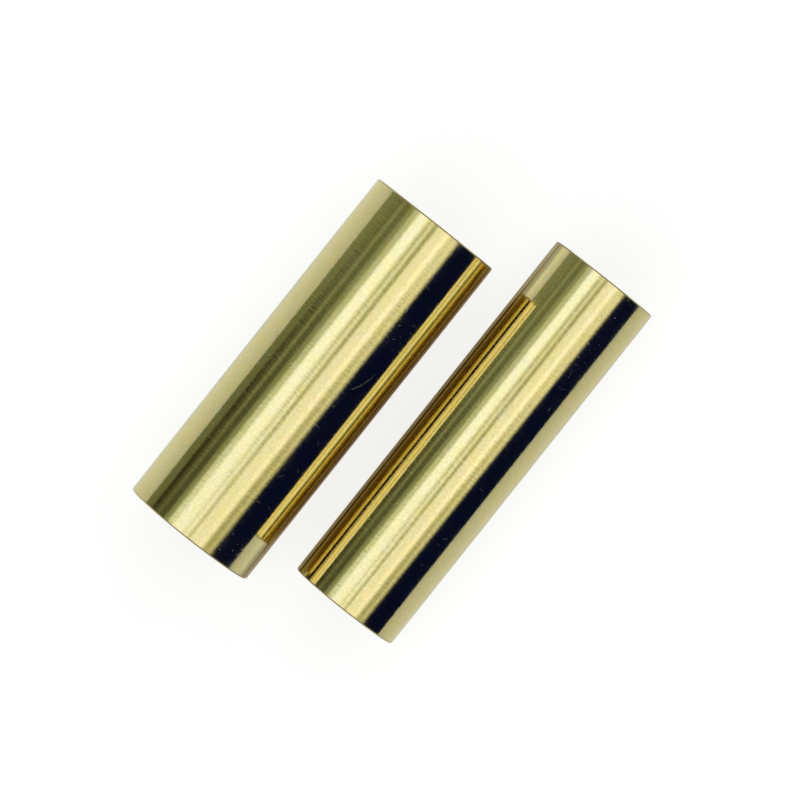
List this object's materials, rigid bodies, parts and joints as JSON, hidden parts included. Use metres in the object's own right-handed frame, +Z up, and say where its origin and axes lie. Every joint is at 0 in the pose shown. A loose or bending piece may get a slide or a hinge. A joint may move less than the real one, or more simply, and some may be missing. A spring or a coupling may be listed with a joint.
{
  "type": "guitar slide",
  "caption": "Plain polished brass guitar slides of unlike size, open-ended tubes that slip over a finger and glide along the strings.",
  "frame": {"origin": "bottom centre of the box round both slides, on the surface they lie on", "axes": "+X along both tubes, towards the end that the smaller slide reaches further; +Y across, from the smaller slide to the larger one; +Z up from the surface they lie on"},
  "size_m": [0.0694, 0.0454, 0.022],
  "materials": {
    "polished_brass": "buffed to a mirror along the outside, with fine lines round the tube"
  },
  "bodies": {
    "large_slide": {"large_slide": "polished_brass"},
    "small_slide": {"small_slide": "polished_brass"}
  },
  "joints": [
    {"name": "small_slide_lift", "type": "slide", "parent": "large_slide", "child": "small_slide", "axis": [0, 0, 1], "range_m": [0, 0.06]}
  ]
}
